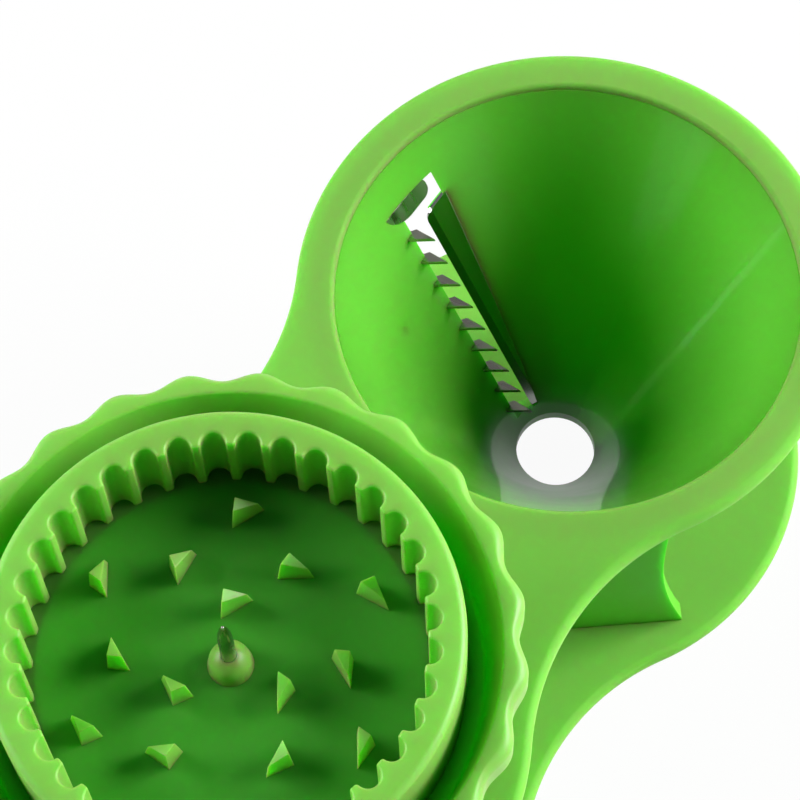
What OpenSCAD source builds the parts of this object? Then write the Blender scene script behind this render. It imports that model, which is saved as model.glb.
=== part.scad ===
// Hand spiralizer: two cutting cones held between two lobed plates,
// one cone opening upwards and its twin opening downwards, with a
// spiked food holder that stands on the closed end of the deck.
// Origin: centre of the foot face. +X runs from the holder to the open cone.

/* [Body] */
// Overall height of the body, from foot face to deck face
body_h = 60; // [52:1:76]
// Distance between the two cone axes
axis_gap = 76; // [74:1:90]
// Width of the rim between a cone's mouth and the end of the plate
rim_w = 5.2; // [4.6:0.1:8]
// Radius of the hollow curve at the waist
waist_r = 37; // [24:1:60]
// Thickness of each plate
plate_t = 3; // [2.6:0.1:5]
// Ledge of the plate that covers the lip of its cone
ledge_t = 1; // [0.6:0.1:1.4]
// Thickness of the diagonal webs between the plates
web_t = 2.4; // [1.6:0.1:4]
// Angle of the webs from the long axis
web_angle = 50; // [46:1:56]
// Reach of a web from the middle of the body to its free edge
web_reach = 36.4; // [34:0.2:37.4]
// Reach of a web's flared foot along the plate
web_foot = 40.8; // [38:0.2:42]
// Height of the toe at the end of a web's foot
web_toe = 0.8; // [0.5:0.1:2]
// Radius of the sweep from a web's free edge out to its foot
web_flare = 90; // [60:5:120]

/* [Cone] */
// Radius of the mouth of the cone
mouth_r = 33; // [30:0.5:36]
// Radius of the core outlet at the tip
outlet_r = 6.15; // [5:0.05:8]
// Length of the straight outlet at the tip
outlet_land = 2; // [1:0.1:2.5]
// Wall of the cone, measured level
cone_wall = 2.4; // [1.8:0.1:3.5]
// Width of the lip that hangs the cone under its ledge
lip_w = 3; // [2.6:0.1:4]
// Wall of the collar at the tip
tip_wall = 2.85; // [2:0.05:4]

/* [Slot] */
// Distance of the blade's clamp from the comb side of the slot
slot_w = 7; // [6:0.1:9]
// Width of the window at the head of the slot, at the line of the wall
window_w = 8; // [7.4:0.1:9]
// Gain in width of the window for each length outwards
window_flare = 0.7; // [0.5:0.05:0.9]
// Distance down the wall from the mouth to the top of the window
window_top = 8.3; // [7:0.1:10]
// Extra width of the window on the comb side
window_ear = 2.8; // [2:0.1:4]
// Wall left between the end of the slot and the outlet
slot_end_wall = 2.7; // [2.4:0.1:5]

/* [Blade] */
// Distance of the cutting edge from the comb side of the slot
blade_gap = 3.2; // [2.6:0.1:4.5]
// Width of the slicing blade
blade_w = 8.6; // [7.6:0.1:11]
// Thickness of the steel of the blade
blade_t = 0.6; // [0.4:0.05:1]
// Height of the blade's back inside the line of the wall
blade_in = 0.4; // [0.05:0.05:0.6]
// Width of the ground bevel
blade_bevel = 1.1; // [0.6:0.1:2]
// Distance down the wall from the mouth to the blade's top end
blade_top = 13.3; // [13:0.1:15]
// Length of the blade past the end of the slot
blade_lap = 0.5; // [0.2:0.1:0.8]
// Radius of the blade's top corner
blade_corner = 2; // [1:0.1:3]

/* [Comb] */
// Teeth on the fine comb of the upper cone
fine_teeth = 9; // [5:1:9]
// Teeth on the coarse comb of the lower cone
coarse_teeth = 5; // [3:1:5]
// Distance between teeth of the fine comb along the wall
tooth_pitch = 5.4; // [4.6:0.01:5.5]
// Distance down the wall from the mouth to the first tooth
first_tooth = 14.8; // [14.2:0.1:15.6]
// Reach of a tooth tip over the slot
tooth_reach = 0.6; // [0.2:0.1:1.4]
// Height of a tooth tip inside the wall
tooth_h = 4; // [3:0.1:4.5]
// Root of a tooth behind the slot's edge
tooth_root = 1.1; // [0.8:0.1:1.6]
// Front of a tooth over the slot at the line of the wall
tooth_front = 1.1; // [0.9:0.1:1.6]
// Edge of the comb's spine over the slot
tooth_foot = 0.5; // [0.3:0.1:0.8]
// Bare steel of the comb past its last tooth
comb_tail = 0.8; // [0.5:0.1:1.5]
// Thickness of the steel of the comb
comb_t = 0.6; // [0.4:0.05:0.9]
// Width of the comb's spine behind the slot's edge
comb_w = 9; // [7:0.1:11]
// Width of the comb's round end tab
tab_w = 9.1; // [8:0.1:9.3]
// Length of the comb's round end tab
tab_h = 3.5; // [3:0.1:4]
// Radius of the tab's two corners at its blunt end
tab_corner = 1.45; // [0.8:0.05:1.45]

/* [Pads and clamps] */
// Outer face of the pads beyond the line of the wall
pad_out = 2.3; // [2:0.1:3.5]
// Depth of the pads inside the line of the wall
pad_in = 3.2; // [2.8:0.1:4]
// Margin of a pad past the screws that hold its clamp
pad_edge = 2.4; // [2:0.1:3]
// Distance down the wall from the mouth to the top of the pads
pad_top = 7.6; // [7:0.1:8]
// Distance of the pads' lower ends from the end of the slot
pad_short = 1.7; // [1.2:0.1:3]
// Thickness of a clamp's cap
clamp_t = 2; // [1.4:0.1:3]
// Distance of a clamp's ends from the ends of its blade or comb
clamp_inset = 5; // [4:0.1:6]
// Radius of a clamp screw's shank
screw_r = 0.9; // [0.6:0.05:1.2]
// Radius of a clamp screw's head
screw_head_r = 1.8; // [1.4:0.1:2.1]
// Height of a clamp screw's head
screw_head_h = 1.2; // [0.8:0.1:1.6]
// Length of a clamp screw's shank in the pad
screw_bite = 4.2; // [3:0.1:4.6]
// Screws along each clamp
clamp_screw_count = 3; // [2:1:4]
// Distance of the screw row past a blade or comb
screw_offset = 2.2; // [2:0.1:3]

/* [Food holder] */
// Height of the holder from its back to the top of its ring
holder_h = 35; // [32:0.5:42]
// Outer radius of the ring that meets the food
ring_r = 29.5; // [27:0.1:31]
// Wall of the ring outside its grooves
ring_wall = 3; // [2:0.1:4]
// Count of upright grooves inside the ring
groove_count = 36; // [24:1:40]
// Radius of a groove
groove_r = 1.55; // [1.2:0.05:1.8]
// Depth of a groove from the inside of the ring
groove_depth = 1.9; // [1.6:0.05:2.2]
// Depth of the cup from the ring's top to its floor
cup_depth = 12; // [10:0.5:14]
// Thickness of the spike plate
spike_plate_t = 3; // [2:0.1:4]
// Ledge of the cup under the spike plate
cup_ledge_t = 2; // [1.5:0.1:3]
// Width of the ledge of the cup inside the grooves
cup_ledge_w = 4.5; // [3:0.1:6]
// Height of the flange's top below the ring's top
flange_drop = 4.6; // [3:0.1:7]
// Height of the scalloped flange
flange_h = 6; // [4:0.1:8]
// Width of the trench between the ring and the flange
trench_w = 4.3; // [4.2:0.1:6]
// Depth of the trench below the flange's top
trench_depth = 10.4; // [8:0.1:12]
// Narrowing of the trench from its top to its floor
trench_draft = 2; // [1:0.1:2.4]
// Wall between the trench and the hollows of the scallops
flange_wall = 2.1; // [1.5:0.1:3]
// Height of a scallop from hollow to crest
scallop_h = 1.2; // [0.6:0.1:2]
// Radius of the hollow between two scallops
hollow_r = 6; // [4:0.5:7]
// Count of scallops around the flange
scallop_count = 24; // [18:1:28]
// Round-over of the flange's edges
flange_round = 2; // [1:0.1:2.6]
// Wall of the grip below the flange
grip_wall = 2.4; // [1.8:0.1:3.5]
// Radius of the grip at its back
grip_r = 22; // [18:0.5:25]
// Height of the straight part of the grip above the back
grip_straight = 5; // [4:0.5:7]
// Floor of the grip that carries the cup
grip_floor = 2; // [1.6:0.1:3]
// Thickness of the cap that closes the back
back_t = 2.5; // [2:0.1:4]

/* [Spikes and pin] */
// Height of a spike at its high end
spike_h = 4.6; // [3:0.1:7]
// Fall of a spike's sloping top from its high end to its point
spike_fall = 1.6; // [0.5:0.1:2.5]
// Width of a spike's base outwards
spike_wide = 3; // [2:0.1:3.4]
// Length of a spike's base round the middle
spike_long = 4; // [3:0.1:4.6]
// Draft of a spike's sides
spike_draft = 0.35; // [0.1:0.05:0.5]
// Distance of the inner spikes from the middle
spike_ring_a = 7.2; // [6.6:0.1:8]
// Distance of the middle spikes from the middle
spike_ring_b = 13.8; // [13:0.1:14.5]
// Distance of the outer spikes from the middle
spike_ring_c = 19.4; // [19:0.1:19.8]
// Radius of the boss round the pin
boss_r = 2.7; // [2.2:0.1:3.4]
// Height of the boss
boss_h = 4; // [3:0.1:6]
// Radius of the pin
pin_r = 1; // [0.8:0.05:1.4]
// Height of the pin's point above the ring's top
pin_proud = 2.6; // [0:0.1:5]
// Length of the pin's point
pin_point = 4; // [2:0.1:6]

/* [Fits] */
// Gap round pieces that are set into one another
seat_gap = 0.05; // [0.02:0.01:0.12]
// Gap between a web and the cone that it runs past
web_gap = 0.2; // [0.1:0.05:0.4]
// Running gap round the pin
pin_gap = 0.05; // [0.02:0.01:0.1]

/* [Hidden] */
$fn = 64;

lime = [0.50, 0.76, 0.30];
lime_deep = [0.40, 0.70, 0.24];
steel = [0.75, 0.76, 0.78];
cut = 1;

half_gap = axis_gap / 2;
lobe_r = mouth_r + rim_w;
lip_r = mouth_r + lip_w;
tip_r = outlet_r + tip_wall;

// Slope of the cone's wall, and its inner radius at a height above the foot
wall_tan = (mouth_r - outlet_r) / (body_h - outlet_land);
wall_angle = atan(wall_tan);
wall_len = (body_h - outlet_land) / cos(wall_angle);
function cone_r(z) = outlet_r + (z - outlet_land) * wall_tan;

// Distances down the wall
slot_end = wall_len - slot_end_wall;
blade_end = slot_end + blade_lap;
pad_end = slot_end - pad_short;
comb_end = slot_end - seat_gap;
tab_s = window_top + seat_gap;

// Distances across the wall, from the comb side of the slot
blade_back = blade_gap + blade_w;
blade_screw_u = blade_back + screw_offset + screw_r;
blade_pad_u = blade_screw_u + pad_edge;
comb_screw_u = -comb_w - screw_offset + screw_r / 2;
comb_pad_u = comb_screw_u - pad_edge;
tab_u = tab_w / 2 - window_ear + seat_gap;
tab_radius = (pow(tab_w / 2, 2) + pow(tab_h, 2)) / (2 * tab_h);

// Levels of the food holder above the deck
holder_z = body_h;
cup_floor = holder_h - cup_depth;
cup_base = cup_floor - spike_plate_t - cup_ledge_t;
flange_top = holder_h - flange_drop;
flange_low = flange_top - flange_h;
trench_floor = flange_top - trench_depth;
grip_base = cup_base - grip_floor;
trench_r = ring_r + trench_w;
trench_floor_r = trench_r - trench_draft;
crest_r = trench_r + flange_wall + scallop_h;
groove_path_r = ring_r - ring_wall - groove_r;
cup_r = ring_r - ring_wall - groove_depth;
pin_tip = holder_h + pin_proud;

// Places a piece on the axis of the open cone
module on_axis() {
  translate([half_gap, 0, 0]) children();
}

// Turns a piece of the upper half over to serve the lower half
module turned_over() {
  translate([0, 0, body_h]) rotate([0, 180, 0]) children();
}

// Wall frame at the slot: X across the wall, Y out of it, -Z down it
module on_wall() {
  translate([0, mouth_r, body_h]) rotate([-wall_angle, 0, 0]) children();
}

// Box in the wall frame, given from and to across, outwards and down the wall
module wall_box(u0, u1, out0, out1, s0, s1) {
  translate([u0, out0, -s1]) cube([u1 - u0, out1 - out0, s1 - s0]);
}

// Plan of a plate: two round ends with hollow curves at the waist
module plate_plan() {
  centre_y = sqrt(pow(lobe_r + waist_r, 2) - pow(half_gap, 2));
  share = lobe_r / (lobe_r + waist_r);
  tx = half_gap * (1 - share);
  ty = centre_y * share;
  for (side = [-1, 1]) translate([side * half_gap, 0]) circle(lobe_r, $fn = 128);
  difference() {
    polygon([[tx, ty], [-tx, ty], [-tx, -ty], [tx, -ty]]);
    for (side = [-1, 1]) translate([0, side * centre_y]) circle(waist_r, $fn = 128);
  }
}

// Upper plate: mouth with a covered lip seat at one end, tip hole at the other
module plate() {
  difference() {
    translate([0, 0, body_h - plate_t]) linear_extrude(plate_t) plate_plan();
    on_axis() {
      translate([0, 0, outlet_land])
        cylinder(h = body_h - outlet_land + cut, r1 = outlet_r, r2 = cone_r(body_h + cut));
      translate([0, 0, body_h - plate_t - cut])
        cylinder(h = plate_t - ledge_t + cut, r = lip_r + seat_gap);
    }
    translate([-half_gap, 0, body_h - plate_t - cut])
      cylinder(h = plate_t + 2 * cut, r = tip_r + seat_gap);
  }
}

// Space inside the cone and its outlet
module cone_space() {
  rotate_extrude($fn = 128) polygon([
    [0, -cut], [outlet_r, -cut], [outlet_r, outlet_land],
    [cone_r(body_h + cut), body_h + cut], [0, body_h + cut]]);
}

// Outside of the cone grown by a gap, used to keep neighbours clear
module cone_clear(gap) {
  rotate_extrude() polygon([
    [0, plate_t - cut], [cone_r(plate_t - cut) + cone_wall + gap, plate_t - cut],
    [cone_r(body_h) + cone_wall + gap, body_h], [0, body_h]]);
}

// Outside of the cone: lip under the plate, sloping wall, collar at the tip
module cone_outside() {
  rotate_extrude($fn = 128) polygon([
    [0, 0], [tip_r, 0], [tip_r, plate_t], [cone_r(plate_t) + cone_wall, plate_t],
    [cone_r(body_h - plate_t) + cone_wall, body_h - plate_t],
    [lip_r, body_h - plate_t], [lip_r, body_h - ledge_t], [0, body_h - ledge_t]]);
}

// Teeth that fit between the first tooth and the end of the comb
function tooth_count(wanted, pitch) =
  min(wanted, 1 + floor((comb_end - comb_tail - comb_t - first_tooth) / pitch));

// Height down the wall of one of the screws of a clamp
function screw_s(s0, s1, i) = s0 + (s1 - s0) * (i + 0.5) / clamp_screw_count;
clamp_s0 = blade_top + clamp_inset;
clamp_s1 = pad_end - clamp_inset;

// Pointed half of the comb's tab, grown by a gap for the window that it fills
module tab_point(grow) {
  intersection() {
    translate([tab_u, -tab_s - tab_h + tab_radius]) circle(tab_radius + grow, $fn = 96);
    translate([tab_u - tab_w, -tab_s - tab_h - grow]) square([tab_w, tab_h + 2 * grow]);
  }
}

// Blunt half of the comb's tab, with two round corners
module tab_blunt() {
  end_u = tab_u + tab_w / 2;
  difference() {
    translate([tab_u - cut, -tab_s - tab_h]) square([tab_w / 2 + cut, tab_h]);
    for (side = [-1, 1])
      translate([end_u - tab_corner, -tab_s - tab_h / 2 + side * (tab_h / 2 - tab_corner)])
        difference() {
          translate([0, side < 0 ? -tab_corner - cut : 0]) square(tab_corner + cut);
          circle(tab_corner, $fn = 48);
        }
  }
}

// Cone with its slot, its blade and comb pads, and a notch for each tooth
module cone(teeth, pitch) {
  difference() {
    union() {
      cone_outside();
      on_wall() wall_box(comb_pad_u, blade_pad_u, -pad_in, pad_out, pad_top, pad_end);
    }
    cone_space();
    on_wall() {
      translate([0, 0, -blade_top]) linear_extrude(blade_top - window_top) polygon([
        [0, -2 * pad_in], [window_w - window_flare * 2 * pad_in, -2 * pad_in],
        [window_w + window_flare * 3 * pad_out, 3 * pad_out], [0, 3 * pad_out]]);
      wall_box(0, blade_gap, -2 * pad_in, 3 * pad_out, blade_top - cut, slot_end);
      translate([0, 3 * pad_out, 0]) rotate([90, 0, 0])
        linear_extrude(2 * pad_in + 3 * pad_out) tab_point(seat_gap);
      wall_box(blade_gap - seat_gap, blade_back + seat_gap, -blade_in - blade_t - seat_gap,
        3 * pad_out, blade_top - seat_gap, blade_end + seat_gap);
      for (i = [0:tooth_count(teeth, pitch) - 1]) let (s = first_tooth + i * pitch)
        wall_box(-tooth_root - seat_gap, cut, -2 * tooth_root, 3 * pad_out,
          s - comb_t / 2 - seat_gap, s + comb_t / 2 + seat_gap);
      for (u = [blade_screw_u, comb_screw_u], i = [0:clamp_screw_count - 1])
        translate([u, pad_out - screw_bite - seat_gap, -screw_s(clamp_s0, clamp_s1, i)])
          rotate([-90, 0, 0]) cylinder(h = 2 * screw_bite, r = screw_r + seat_gap, $fn = 24);
    }
  }
}

// Slicing blade: a flat strip with one round corner and a bevel on the inside
module blade() {
  long = blade_end - blade_top;
  on_wall() difference() {
    translate([0, -blade_in, 0]) rotate([90, 0, 0]) linear_extrude(blade_t) difference() {
      translate([blade_gap, -blade_end]) square([blade_w, long]);
      translate([blade_gap, -blade_top]) difference() {
        translate([-cut, -blade_corner]) square([blade_corner + cut, blade_corner + cut]);
        translate([blade_corner, -blade_corner]) circle(blade_corner, $fn = 48);
      }
    }
    translate([0, 0, -blade_end - cut]) linear_extrude(long + 2 * cut) polygon([
      [blade_gap - cut, -blade_in], [blade_gap, -blade_in],
      [blade_gap + blade_bevel, -blade_in - blade_t],
      [blade_gap + blade_bevel, -blade_in - 2 * blade_t],
      [blade_gap - cut, -blade_in - 2 * blade_t]]);
  }
}

// Julienne comb: a spine outside the wall, teeth through it, a round end tab
module comb(teeth, pitch) {
  spine_out = pad_out + comb_t;
  on_wall() {
    wall_box(-comb_w, tooth_foot, pad_out, spine_out, tab_s, comb_end);
    for (i = [0:tooth_count(teeth, pitch) - 1])
      translate([0, 0, -first_tooth - i * pitch - comb_t / 2]) linear_extrude(comb_t) polygon([
        [-tooth_root, spine_out], [tooth_foot, spine_out], [tooth_foot, comb_t],
        [tooth_front, 0], [tooth_reach, -tooth_h], [-tooth_root, 0]]);
    translate([0, comb_t, 0]) rotate([90, 0, 0]) linear_extrude(comb_t) {
      tab_point(0);
      tab_blunt();
    }
    wall_box(-tooth_root - comb_t, -tooth_root + comb_t, 0, spine_out, tab_s, tab_s + tab_h / 2);
  }
}

// Clamp of the blade: a foot in the blade's pocket under a screwed cap
module blade_clamp() {
  on_wall() difference() {
    union() {
      wall_box(slot_w + seat_gap, blade_back, -blade_in, pad_out, clamp_s0, clamp_s1);
      wall_box(slot_w + seat_gap, blade_pad_u, pad_out, pad_out + clamp_t, clamp_s0, clamp_s1);
    }
    clamp_holes(blade_screw_u);
  }
}

// Clamp of the comb: a cap over the spine with a foot on the pad behind it
module comb_clamp() {
  on_wall() difference() {
    union() {
      wall_box(comb_pad_u, -tooth_root, pad_out + comb_t, pad_out + comb_t + clamp_t,
        clamp_s0, clamp_s1);
      wall_box(comb_pad_u, -comb_w - seat_gap, pad_out, pad_out + comb_t + cut / 2,
        clamp_s0, clamp_s1);
    }
    clamp_holes(comb_screw_u);
  }
}

// Holes through a clamp for its row of screws
module clamp_holes(u) {
  for (i = [0:clamp_screw_count - 1])
    translate([u, 0, -screw_s(clamp_s0, clamp_s1, i)])
      rotate([-90, 0, 0]) cylinder(h = 4 * pad_out, r = screw_r + seat_gap, $fn = 24);
}

// Screws of both clamps of one cone
module clamp_screws() {
  on_wall() for (row = [[blade_screw_u, pad_out + clamp_t],
      [comb_screw_u, pad_out + comb_t + clamp_t]], i = [0:clamp_screw_count - 1])
    translate([row[0], row[1], -screw_s(clamp_s0, clamp_s1, i)]) rotate([-90, 0, 0]) {
      cylinder(h = screw_head_h, r = screw_head_r, $fn = 32);
      translate([0, 0, pad_out - screw_bite - row[1]])
        cylinder(h = row[1] - pad_out + screw_bite, r = screw_r, $fn = 24);
    }
}

// Two diagonal webs of one half, cut back along the cone that they pass
module webs() {
  high = body_h - 2 * plate_t;
  rise = web_toe + sqrt(pow(web_flare, 2) - pow(web_reach + web_flare - web_foot, 2));
  difference() {
    intersection() {
      for (side = [-1, 1]) rotate([0, 0, side * web_angle])
        translate([0, web_t / 2, plate_t]) rotate([90, 0, 0]) linear_extrude(web_t)
          difference() {
            translate([-web_t, 0]) square([web_foot + web_t, high]);
            translate([web_reach + web_flare, rise]) circle(web_flare, $fn = 96);
            translate([web_reach, rise]) square([web_foot, high]);
          }
      translate([0, -2 * lobe_r, 0]) cube([2 * lobe_r, 4 * lobe_r, body_h]);
    }
    on_axis() cone_clear(web_gap);
  }
}

module upper_plate() {
  color(lime) plate();
}

module lower_plate() {
  color(lime) turned_over() plate();
}

module cone_a() {
  color(lime_deep) on_axis() cone(fine_teeth, tooth_pitch);
}

module cone_b() {
  color(lime_deep) turned_over() on_axis() cone(coarse_teeth, 2 * tooth_pitch);
}

module web_a() {
  color(lime) webs();
}

module web_b() {
  color(lime) turned_over() webs();
}

module blade_a() {
  color(steel) on_axis() blade();
}

module blade_b() {
  color(steel) turned_over() on_axis() blade();
}

module comb_a() {
  color(steel) on_axis() comb(fine_teeth, tooth_pitch);
}

module comb_b() {
  color(steel) turned_over() on_axis() comb(coarse_teeth, 2 * tooth_pitch);
}

module blade_clamp_a() {
  color(lime_deep) on_axis() blade_clamp();
}

module blade_clamp_b() {
  color(lime_deep) turned_over() on_axis() blade_clamp();
}

module comb_clamp_a() {
  color(lime_deep) on_axis() comb_clamp();
}

module comb_clamp_b() {
  color(lime_deep) turned_over() on_axis() comb_clamp();
}

module clamp_screws_a() {
  color(steel) on_axis() clamp_screws();
}

module clamp_screws_b() {
  color(steel) turned_over() on_axis() clamp_screws();
}

// Places a piece of the food holder on the closed end of the deck
module on_holder() {
  translate([-half_gap, 0, holder_z]) children();
}

// Flange of the holder: a disc with a round edge and a ring of hollows in it
module flange() {
  difference() {
    rotate_extrude($fn = 128) {
      translate([0, flange_low]) square([crest_r, flange_h - flange_round]);
      translate([0, flange_low]) square([crest_r - flange_round, flange_h]);
      translate([crest_r - flange_round, flange_top - flange_round])
        circle(flange_round, $fn = 48);
    }
    for (i = [0:scallop_count - 1]) rotate((i + 0.5) * 360 / scallop_count)
      translate([crest_r - scallop_h + hollow_r, 0, flange_low - cut])
        cylinder(h = flange_h + 2 * cut, r = hollow_r, $fn = 48);
  }
}

// Points of the hollow curve from the grip up to the flange, pulled in by a wall
function grip_curve(r0, r1, z0, z1) = [for (i = [0:6]) let (a = 15 * i)
  [r1 - (r1 - r0) * cos(a), z0 + (z1 - z0) * sin(a)]];

// Grip of the holder: scalloped flange, trench, and a hollow waist to stand on
module holder_grip() {
  color(lime) on_holder() difference() {
    union() {
      flange();
      rotate_extrude($fn = 128) polygon(concat(
        [[0, 0], [grip_r, 0]],
        grip_curve(grip_r, trench_floor_r + flange_wall, grip_straight,
          trench_floor - grip_wall),
        [[trench_r + flange_wall - scallop_h, flange_low + cut],
          [0, flange_low + cut]]));
    }
    translate([0, 0, trench_floor])
      cylinder(h = 2 * trench_depth, r1 = trench_floor_r, r2 = trench_r + trench_draft, $fn = 128);
    translate([0, 0, cup_base]) cylinder(h = holder_h, r = ring_r + seat_gap, $fn = 128);
    translate([0, 0, -cut]) cylinder(h = grip_base + cut, r = grip_r - grip_wall);
    cylinder(h = holder_h, r = pin_r + pin_gap, $fn = 32);
  }
}

// Plan of the ring with its upright grooves
module ring_plan() {
  difference() {
    circle(ring_r, $fn = 128);
    circle(cup_r + seat_gap, $fn = 128);
    for (i = [0:groove_count - 1]) rotate(i * 360 / groove_count)
      translate([groove_path_r, 0]) circle(groove_r, $fn = 32);
  }
}

// Cup of the holder: the grooved ring on a ledge for the spike plate
module holder_cup() {
  ledge = cup_base + cup_ledge_t;
  color(lime) on_holder() {
    translate([0, 0, cup_floor]) linear_extrude(holder_h - cup_floor) ring_plan();
    translate([0, 0, ledge]) linear_extrude(cup_floor - ledge) difference() {
      circle(ring_r, $fn = 128);
      circle(cup_r + seat_gap, $fn = 128);
    }
    translate([0, 0, cup_base]) linear_extrude(cup_ledge_t) difference() {
      circle(ring_r, $fn = 128);
      circle(cup_r - cup_ledge_w, $fn = 96);
    }
  }
}

// Three-sided spike: a square corner at the outside, a top that slopes to a point
module spike() {
  x0 = -spike_wide / 2;
  x1 = spike_wide / 2;
  y0 = -spike_long / 2;
  y1 = spike_long / 2;
  d = spike_draft;
  low = -cut / 2;
  polyhedron(
    points = [[x0, y1, low], [x1, y1, low], [x1, y0, low],
      [x0 + 2 * d, y1 - d, spike_h], [x1 - d, y1 - d, spike_h],
      [x1 - d, y0 + 2 * d, spike_h - spike_fall]],
    faces = [[0, 2, 1], [3, 4, 5], [0, 1, 4], [0, 4, 3], [1, 2, 5], [1, 5, 4],
      [2, 0, 3], [2, 3, 5]]);
}

// Plate of spikes with the boss of the pin
module spike_plate() {
  color(lime_deep) on_holder() difference() {
    union() {
      translate([0, 0, cup_floor - spike_plate_t])
        cylinder(h = spike_plate_t, r = cup_r, $fn = 128);
      translate([0, 0, cup_floor]) {
        translate([0, 0, -cut / 2])
          cylinder(h = boss_h - boss_r / 2 + cut / 2, r = boss_r, $fn = 48);
        translate([0, 0, boss_h - boss_r / 2])
          cylinder(h = boss_r / 2, r1 = boss_r, r2 = boss_r / 2, $fn = 48);
        for (i = [0:2]) rotate(30 + i * 120) translate([spike_ring_a, 0, 0]) spike();
        for (i = [0:5]) rotate(i * 60) translate([spike_ring_b, 0, 0]) spike();
        for (i = [0:5]) rotate(30 + i * 60) translate([spike_ring_c, 0, 0]) spike();
      }
    }
    cylinder(h = 2 * holder_h, r = pin_r + pin_gap, $fn = 32);
  }
}

// Pointed steel pin in the middle of the holder
module holder_pin() {
  color(steel) on_holder() translate([0, 0, grip_base]) {
    cylinder(h = pin_tip - pin_point - grip_base, r = pin_r, $fn = 32);
    translate([0, 0, pin_tip - pin_point - grip_base])
      cylinder(h = pin_point, r1 = pin_r, r2 = 0.1, $fn = 32);
  }
}

// Cap that closes the back of the grip
module holder_back() {
  color(lime) on_holder() cylinder(h = back_t, r = grip_r - grip_wall - seat_gap);
}

upper_plate();
lower_plate();
cone_a();
cone_b();
web_a();
web_b();
blade_a();
blade_b();
comb_a();
comb_b();
blade_clamp_a();
blade_clamp_b();
comb_clamp_a();
comb_clamp_b();
clamp_screws_a();
clamp_screws_b();
holder_grip();
holder_cup();
spike_plate();
holder_pin();
holder_back();
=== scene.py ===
"""Dresses the hand spiralizer: lobed plates, cutting cones, steel cutters and the food holder."""

import logging
import math
from dataclasses import dataclass
from enum import Enum
from functools import cache
from typing import Callable, Optional, Sequence

import bmesh
import bpy
from bmesh.types import BMesh, BMVert
from bpy.types import ID, Material, Mesh, Node, NodeSocket, NodeTree, Object
from mathutils import Matrix, Vector


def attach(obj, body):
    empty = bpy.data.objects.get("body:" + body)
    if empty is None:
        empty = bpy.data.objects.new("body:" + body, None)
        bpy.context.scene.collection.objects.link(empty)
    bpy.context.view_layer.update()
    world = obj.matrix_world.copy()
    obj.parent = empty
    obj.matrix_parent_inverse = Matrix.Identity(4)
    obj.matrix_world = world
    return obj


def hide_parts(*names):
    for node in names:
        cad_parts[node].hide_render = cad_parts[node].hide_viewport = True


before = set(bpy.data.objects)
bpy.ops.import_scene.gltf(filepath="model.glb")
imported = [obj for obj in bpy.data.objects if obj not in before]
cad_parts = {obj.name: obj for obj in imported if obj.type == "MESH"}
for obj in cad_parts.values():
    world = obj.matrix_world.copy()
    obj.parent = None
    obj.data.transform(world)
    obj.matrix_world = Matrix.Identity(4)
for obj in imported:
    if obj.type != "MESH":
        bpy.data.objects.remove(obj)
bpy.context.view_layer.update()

LOG = logging.getLogger("spiralizer")
MM = 0.001
TURN = 2 * math.pi
SHARP = math.radians(35)
FLAT_TURN = math.radians(0.5)
STRAIGHT = 1e-4
LEVEL = 1e-3
SPECK_MM = 1e-6
MERGE_MM = 1e-4
SIDE_SHARE = 0.499
EVEN_WEIGHT = 60
NOISE_LOW = 0.3
NOISE_HIGH = 0.7

Triple = tuple[float, float, float]
Colour = Triple
Flat = tuple[float, float]
Loop = list[BMVert]
Warp = Callable[[float, float, float], float]


class Half(Enum):
    """The two halves of the body: the lower one is the upper one turned over."""

    UPPER = "a"
    LOWER = "b"


class Rider(Enum):
    """The bodies that pieces ride on."""

    BASE = "body"
    PIN = "pin"
    HOLDER = "holder"


# Finishes


class NodeBench:
    """Places and wires the nodes of one tree."""

    def __init__(self, tree: NodeTree) -> None:
        """Empties the tree and keeps it."""
        self.tree = tree
        self.tree.nodes.clear()

    def add(self, kind: str, inputs: Optional[dict[str, object]] = None, **values: object) -> Node:
        """Adds a node.

        Args:
            kind: Blender's name of the node type.
            inputs: a value for each named input.
            values: node properties to set.

        Returns:
            The new node.
        """
        node = self.tree.nodes.new(kind)
        for key, value in values.items():
            setattr(node, key, value)
        for key, value in (inputs or {}).items():
            node.inputs[key].default_value = value
        return node

    def wire(self, source: NodeSocket, target: NodeSocket) -> None:
        """Links an output to an input."""
        self.tree.links.new(source, target)

    def math(self, operation: str, one: NodeSocket,
             two: NodeSocket | float) -> NodeSocket:
        """Adds a node that works out one number from two.

        Args:
            operation: Blender's name of the operation.
            one: first number's socket.
            two: second number or its socket.

        Returns:
            The result's socket.
        """
        node = self.add("ShaderNodeMath", operation=operation)
        self.wire(one, node.inputs[0])
        if isinstance(two, float):
            node.inputs[1].default_value = two
        else:
            self.wire(two, node.inputs[1])
        return node.outputs[0]

    def ramp(self, source: NodeSocket, low: float, high: float, start: float = NOISE_LOW,
             stop: float = NOISE_HIGH) -> NodeSocket:
        """Maps a value to a range.

        Args:
            source: the value, which is noise unless a start and a stop are given.
            low: result at the start.
            high: result at the stop.
            start: lowest value.
            stop: highest value.

        Returns:
            The mapped value's socket.
        """
        node = self.add("ShaderNodeMapRange", {"From Min": start, "From Max": stop,
                                               "To Min": low, "To Max": high})
        self.wire(source, node.inputs["Value"])
        return node.outputs["Result"]


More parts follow.
